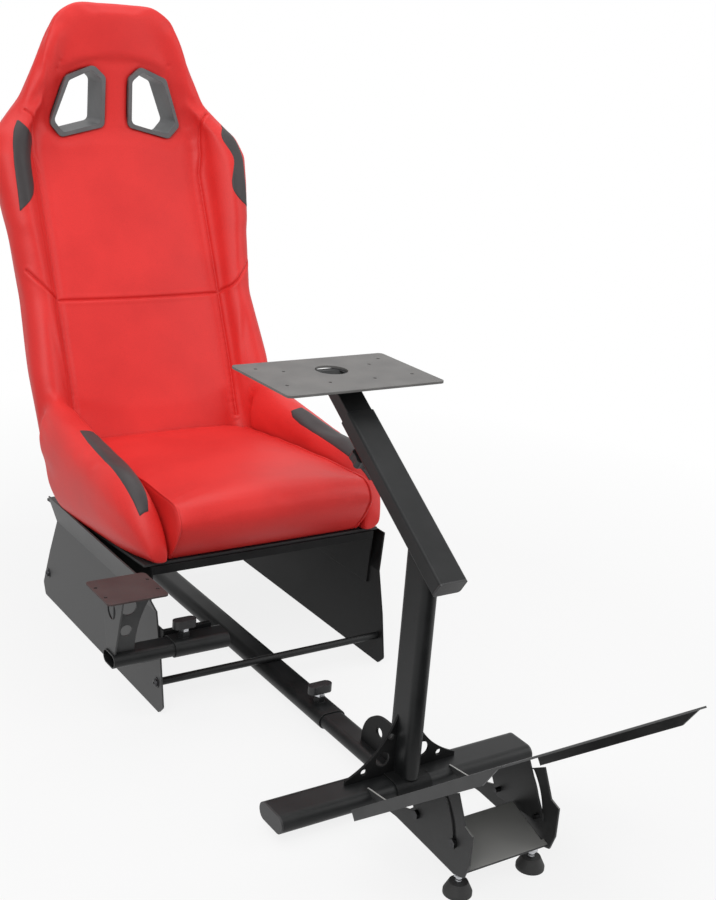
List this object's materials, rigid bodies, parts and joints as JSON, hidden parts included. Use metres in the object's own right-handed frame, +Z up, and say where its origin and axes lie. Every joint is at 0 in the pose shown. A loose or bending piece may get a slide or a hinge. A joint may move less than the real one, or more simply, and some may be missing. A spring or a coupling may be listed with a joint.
{
  "type": "racing cockpit seat",
  "caption": "Fixed red bucket seat on a low black steel base, with a telescopic beam carrying a steering post, a tilting pedal plate and a sliding shifter plate.",
  "frame": {"origin": "on the floor under the steering post, in the seat's middle plane", "axes": "+X to the sitter's left, +Y from the pedals to the seat back, +Z up"},
  "size_m": [0.6555, 1.7227, 1.189],
  "materials": {
    "coated_steel": "satin black powder coat",
    "red_leather": "soft grained synthetic leather, red",
    "moulded_black": "grained moulded plastic",
    "shell_black": "textured hard shell",
    "zinc_steel": "bright zinc plate",
    "foot_rubber": "matt rubber"
  },
  "bodies": {
    "base": {"right_side_plate": "coated_steel", "left_side_plate": "coated_steel", "base_spine": "coated_steel", "cross_rods": "coated_steel", "seat_pan": "coated_steel", "seat_shell": "shell_black", "seat_cushion": "red_leather", "back_pad": "red_leather", "right_back_bolster": "red_leather", "left_back_bolster": "red_leather", "right_thigh_bolster": "red_leather", "left_thigh_bolster": "red_leather", "right_harness_bezel": "moulded_black", "left_harness_bezel": "moulded_black", "sleeve_bracket": "coated_steel", "shifter_sleeve": "coated_steel"},
    "front": {"beam_inner": "coated_steel", "crossbar": "coated_steel", "crossbar_caps": "moulded_black", "post_saddle": "coated_steel", "steering_post": "coated_steel", "right_post_gusset": "coated_steel", "left_post_gusset": "coated_steel", "beam_stay": "coated_steel", "arm_tube": "coated_steel", "arm_cap": "moulded_black", "pedal_bracket": "coated_steel", "pedal_pivot_bolts": "zinc_steel"},
    "wheel_carrier": {"wheel_neck": "coated_steel", "wheel_collar": "coated_steel", "wheel_plate": "coated_steel"},
    "shifter": {"shifter_tube": "coated_steel", "shifter_bracket": "coated_steel", "shifter_plate": "coated_steel"},
    "pedals": {"pedal_plate": "coated_steel", "right_pedal_ear": "coated_steel", "left_pedal_ear": "coated_steel", "pedal_lock_bolts": "zinc_steel"},
    "right_foot": {"right_foot_pad": "foot_rubber", "right_foot_stud": "zinc_steel"},
    "left_foot": {"left_foot_pad": "foot_rubber", "left_foot_stud": "zinc_steel"},
    "beam_clamp": {"beam_knob": "moulded_black", "beam_knob_stud": "zinc_steel"},
    "arm_clamp": {"arm_knob": "moulded_black", "arm_knob_stud": "zinc_steel"},
    "shifter_clamp": {"shifter_knob": "moulded_black", "shifter_knob_stud": "zinc_steel"}
  },
  "joints": [
    {"name": "beam_slide", "type": "slide", "parent": "base", "child": "front", "axis": [0, 1, 0], "range_m": [-0.12, 0.085]},
    {"name": "wheel_slide", "type": "slide", "parent": "front", "child": "wheel_carrier", "axis": [0, 0.8339, 0.5519], "range_m": [-0.035, 0.08]},
    {"name": "shifter_slide", "type": "slide", "parent": "base", "child": "shifter", "axis": [1, 0, 0], "range_m": [-0.05, 0.025]},
    {"name": "pedal_tilt", "type": "hinge", "parent": "front", "child": "pedals", "pos_m": [0, -0.151, 0.08], "axis": [-1, 0, 0], "range_deg": [0, 30]},
    {"name": "right_foot_turn", "type": "hinge", "parent": "front", "child": "right_foot", "pos_m": [-0.069, -0.247, 0.02], "axis": [0, 0, 1], "continuous": true},
    {"name": "left_foot_turn", "type": "hinge", "parent": "front", "child": "left_foot", "pos_m": [0.069, -0.247, 0.02], "axis": [0, 0, 1], "continuous": true},
    {"name": "beam_clamp_turn", "type": "hinge", "parent": "base", "child": "beam_clamp", "pos_m": [0, 0.264, 0.06], "axis": [0, 0, 1], "continuous": true},
    {"name": "arm_clamp_turn", "type": "hinge", "parent": "front", "child": "arm_clamp", "pos_m": [0, 0.18885, 0.52603], "axis": [0, 0.5519, -0.8339], "continuous": true},
    {"name": "shifter_clamp_turn", "type": "hinge", "parent": "base", "child": "shifter_clamp", "pos_m": [-0.205, 0.396, 0.17], "axis": [0, 0, 1], "continuous": true}
  ]
}
